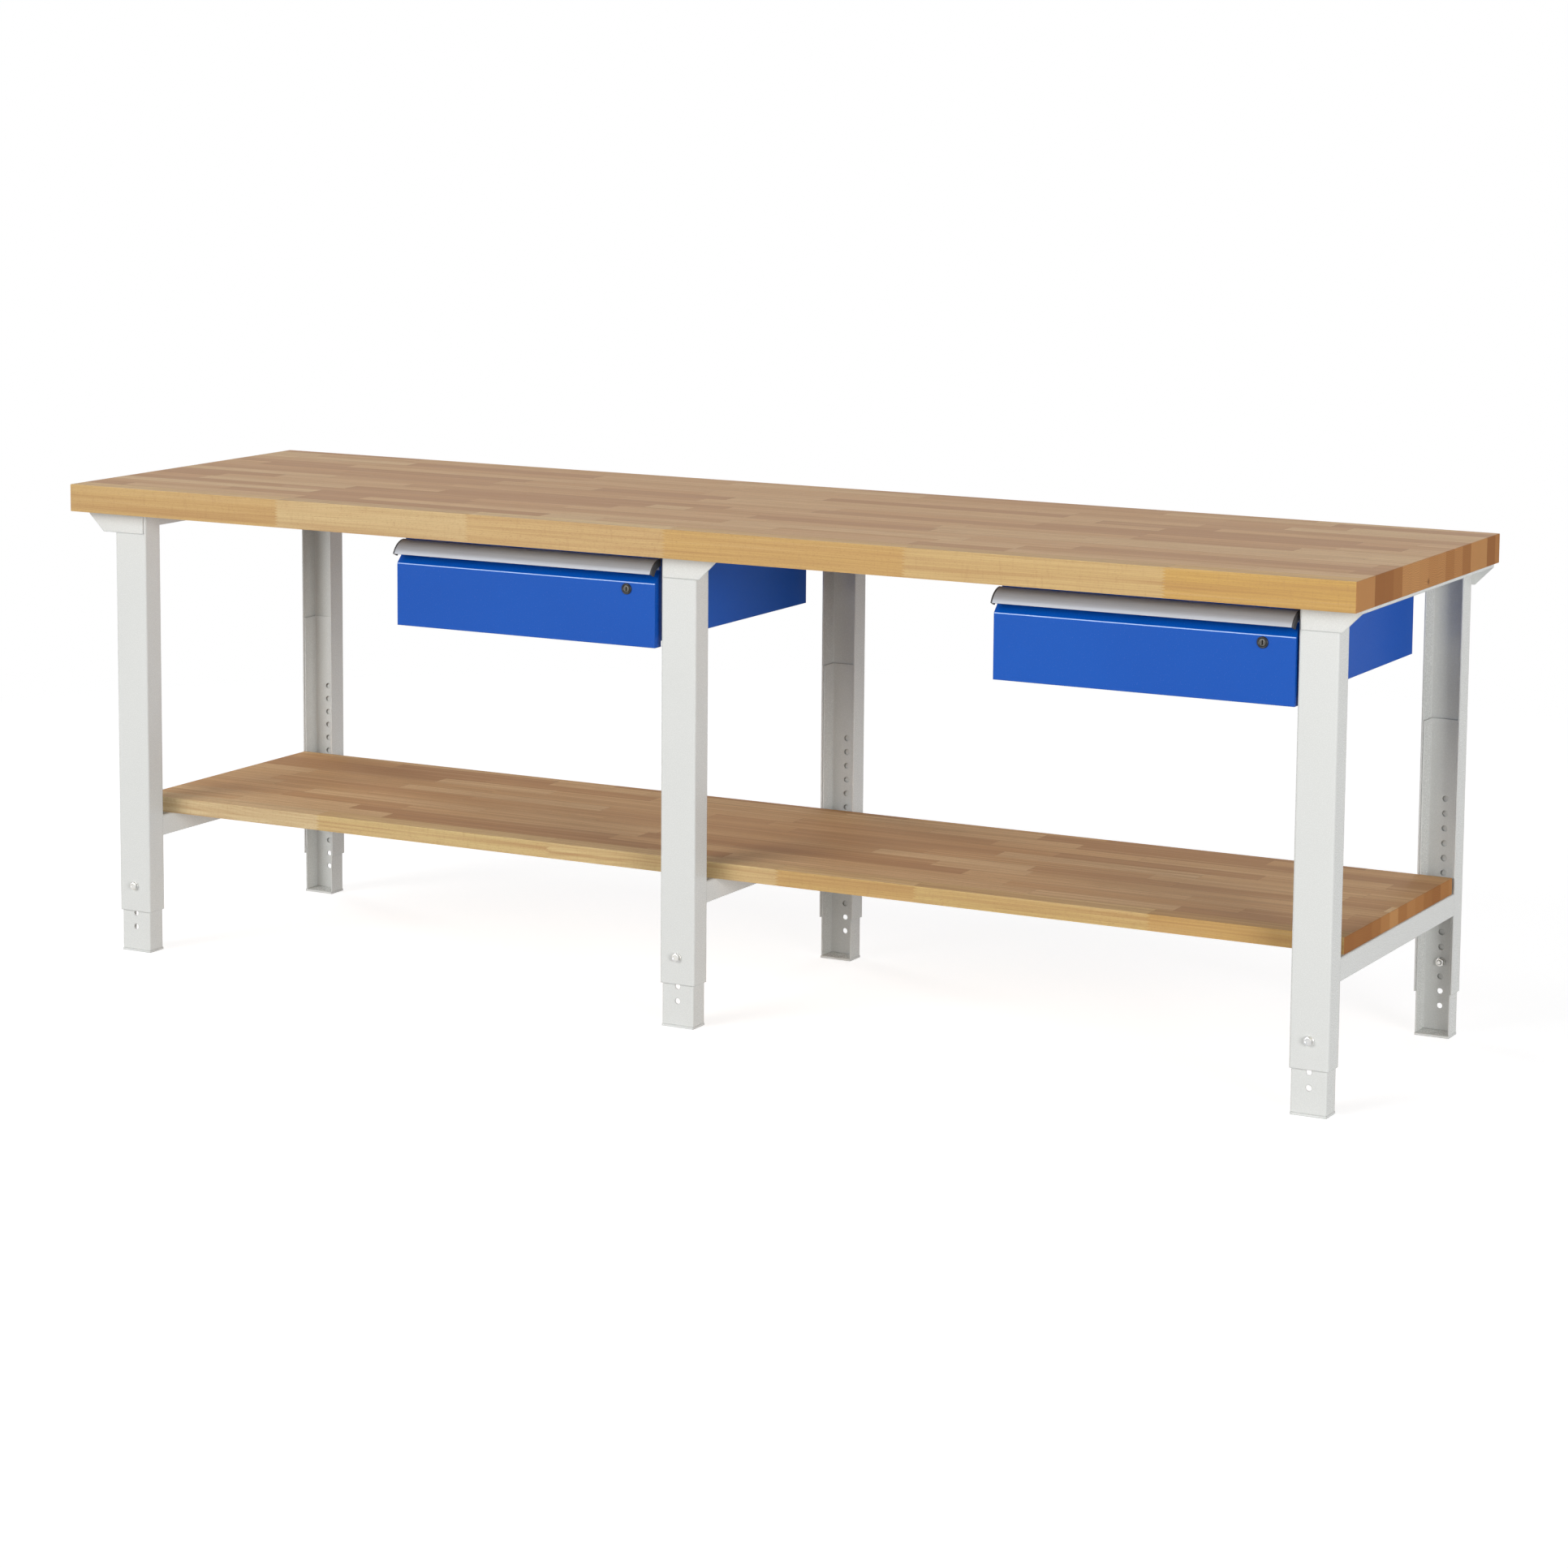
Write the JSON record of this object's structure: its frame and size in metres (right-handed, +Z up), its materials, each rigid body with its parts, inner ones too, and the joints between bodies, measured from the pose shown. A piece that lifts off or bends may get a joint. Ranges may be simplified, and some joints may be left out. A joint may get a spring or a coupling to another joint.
{
  "type": "workbench",
  "caption": "Long workbench with a thick wooden top and lower shelf on grey steel frames, telescopic feet and lockable blue drawers hung under the top.",
  "frame": {"origin": "on the floor, under the middle of the worktop", "axes": "+X along the bench to its right end, +Y to its back, +Z up; the drawers face -Y"},
  "size_m": [2.5, 0.7, 0.872],
  "materials": {
    "beech": "oiled glued beech staves",
    "grey_steel": "light grey powder coat",
    "blue_steel": "blue powder coat",
    "aluminium": "anodised, drawn along its length",
    "dark_plastic": "dark grey moulded",
    "zinc_steel": "zinc plated",
    "black_metal": "black plated, satin"
  },
  "bodies": {
    "bench_frame": {"worktop": "beech", "shelf": "beech", "leg_left_front": "grey_steel", "leg_left_back": "grey_steel", "leg_middle_front": "grey_steel", "leg_middle_back": "grey_steel", "leg_right_front": "grey_steel", "leg_right_back": "grey_steel", "top_beam_left": "grey_steel", "top_beam_middle": "grey_steel", "top_beam_right": "grey_steel", "shelf_rail_left": "grey_steel", "shelf_rail_middle": "grey_steel", "shelf_rail_right": "grey_steel", "height_bolts": "zinc_steel", "height_bolt_washers": "zinc_steel", "height_bolt_nuts": "zinc_steel", "worktop_screws": "zinc_steel", "shelf_screws": "zinc_steel", "drawer_hanging_screws": "zinc_steel", "drawer_left_housing": "blue_steel", "drawer_left_outer_rails": "zinc_steel", "drawer_right_housing": "blue_steel", "drawer_right_outer_rails": "zinc_steel"},
    "foot_left_front": {"foot_left_front": "grey_steel", "foot_plate_left_front": "grey_steel"},
    "foot_left_back": {"foot_left_back": "grey_steel", "foot_plate_left_back": "grey_steel"},
    "foot_middle_front": {"foot_middle_front": "grey_steel", "foot_plate_middle_front": "grey_steel"},
    "foot_middle_back": {"foot_middle_back": "grey_steel", "foot_plate_middle_back": "grey_steel"},
    "foot_right_front": {"foot_right_front": "grey_steel", "foot_plate_right_front": "grey_steel"},
    "foot_right_back": {"foot_right_back": "grey_steel", "foot_plate_right_back": "grey_steel"},
    "drawer_left": {"drawer_left_tray": "blue_steel", "drawer_left_front": "blue_steel", "drawer_left_grip": "aluminium", "drawer_left_grip_caps": "dark_plastic", "drawer_left_inner_rails": "zinc_steel", "drawer_left_lock_barrel": "black_metal", "drawer_left_lock_nut": "zinc_steel", "drawer_left_front_screws": "zinc_steel"},
    "drawer_left_middle": {"drawer_left_middle_rails": "zinc_steel"},
    "drawer_left_lock": {"drawer_left_lock_plug": "black_metal", "drawer_left_lock_cam": "zinc_steel"},
    "drawer_right": {"drawer_right_tray": "blue_steel", "drawer_right_front": "blue_steel", "drawer_right_grip": "aluminium", "drawer_right_grip_caps": "dark_plastic", "drawer_right_inner_rails": "zinc_steel", "drawer_right_lock_barrel": "black_metal", "drawer_right_lock_nut": "zinc_steel", "drawer_right_front_screws": "zinc_steel"},
    "drawer_right_middle": {"drawer_right_middle_rails": "zinc_steel"},
    "drawer_right_lock": {"drawer_right_lock_plug": "black_metal", "drawer_right_lock_cam": "zinc_steel"}
  },
  "joints": [
    {"name": "foot_left_front_slide", "type": "slide", "parent": "bench_frame", "child": "foot_left_front", "axis": [0, 0, -1], "range_m": [-0.052, 0.26]},
    {"name": "foot_left_back_slide", "type": "slide", "parent": "bench_frame", "child": "foot_left_back", "axis": [0, 0, -1], "range_m": [-0.052, 0.26]},
    {"name": "foot_middle_front_slide", "type": "slide", "parent": "bench_frame", "child": "foot_middle_front", "axis": [0, 0, -1], "range_m": [-0.052, 0.26]},
    {"name": "foot_middle_back_slide", "type": "slide", "parent": "bench_frame", "child": "foot_middle_back", "axis": [0, 0, -1], "range_m": [-0.052, 0.26]},
    {"name": "foot_right_front_slide", "type": "slide", "parent": "bench_frame", "child": "foot_right_front", "axis": [0, 0, -1], "range_m": [-0.052, 0.26]},
    {"name": "foot_right_back_slide", "type": "slide", "parent": "bench_frame", "child": "foot_right_back", "axis": [0, 0, -1], "range_m": [-0.052, 0.26]},
    {"name": "drawer_left_slide", "type": "slide", "parent": "bench_frame", "child": "drawer_left", "axis": [0, -1, 0], "range_m": [0, 0.45]},
    {"name": "drawer_left_middle_slide", "type": "slide", "parent": "bench_frame", "child": "drawer_left_middle", "axis": [0, -1, 0], "range_m": [0, 0.225]},
    {"name": "drawer_left_lock_turn", "type": "hinge", "parent": "drawer_left", "child": "drawer_left_lock", "pos_m": [-0.08, -0.31, 0.76], "axis": [0, 1, 0], "range_deg": [0, 90]},
    {"name": "drawer_right_slide", "type": "slide", "parent": "bench_frame", "child": "drawer_right", "axis": [0, -1, 0], "range_m": [0, 0.45]},
    {"name": "drawer_right_middle_slide", "type": "slide", "parent": "bench_frame", "child": "drawer_right_middle", "axis": [0, -1, 0], "range_m": [0, 0.225]},
    {"name": "drawer_right_lock_turn", "type": "hinge", "parent": "drawer_right", "child": "drawer_right_lock", "pos_m": [1.0855, -0.31, 0.76], "axis": [0, 1, 0], "range_deg": [0, 90]}
  ],
  "couplings": [
    {"joint": "drawer_left_middle_slide", "follows": "drawer_left_slide", "ratio": 0.5},
    {"joint": "drawer_right_middle_slide", "follows": "drawer_right_slide", "ratio": 0.5}
  ]
}
